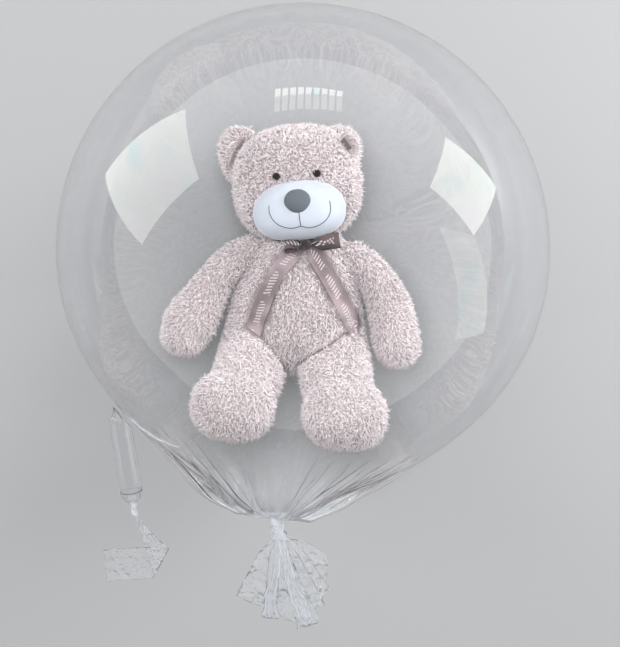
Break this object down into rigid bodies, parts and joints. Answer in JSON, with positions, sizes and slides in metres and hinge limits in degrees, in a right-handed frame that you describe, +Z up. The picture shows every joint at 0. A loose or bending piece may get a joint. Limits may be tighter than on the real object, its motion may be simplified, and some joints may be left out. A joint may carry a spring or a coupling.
{
  "type": "clear bubble balloon",
  "caption": "Clear round film balloon lying on its side, with a gathered and twisted mouth that fans out, a puffed inflation tube with a folded strip, and a plush bear inside.",
  "frame": {"origin": "middle of the flat spot on the underside, straight below the bubble's centre", "axes": "+Z up; the mouth points along -Y, turned 6.7 degrees towards -X, and +X is to the right of someone who looks down with the mouth towards them"},
  "size_m": [0.5594, 0.7007, 0.5533],
  "materials": {
    "clear_film": "thin clear stretched film, glossy",
    "tube_film": "clear lay-flat film tubing, glossy, creased",
    "plush_fur": "short curly pile plush, pale pinkish beige",
    "muzzle_velour": "short smooth velour, pale bluish white",
    "nose_felt": "satin stitched, slate grey",
    "eye_beads": "polished black",
    "satin_ribbon": "satin, dark brown, with short pale printed strokes"
  },
  "bodies": {
    "root": {"bubble_film": "clear_film", "inflation_tube": "tube_film"}
  },
  "joints": []
}
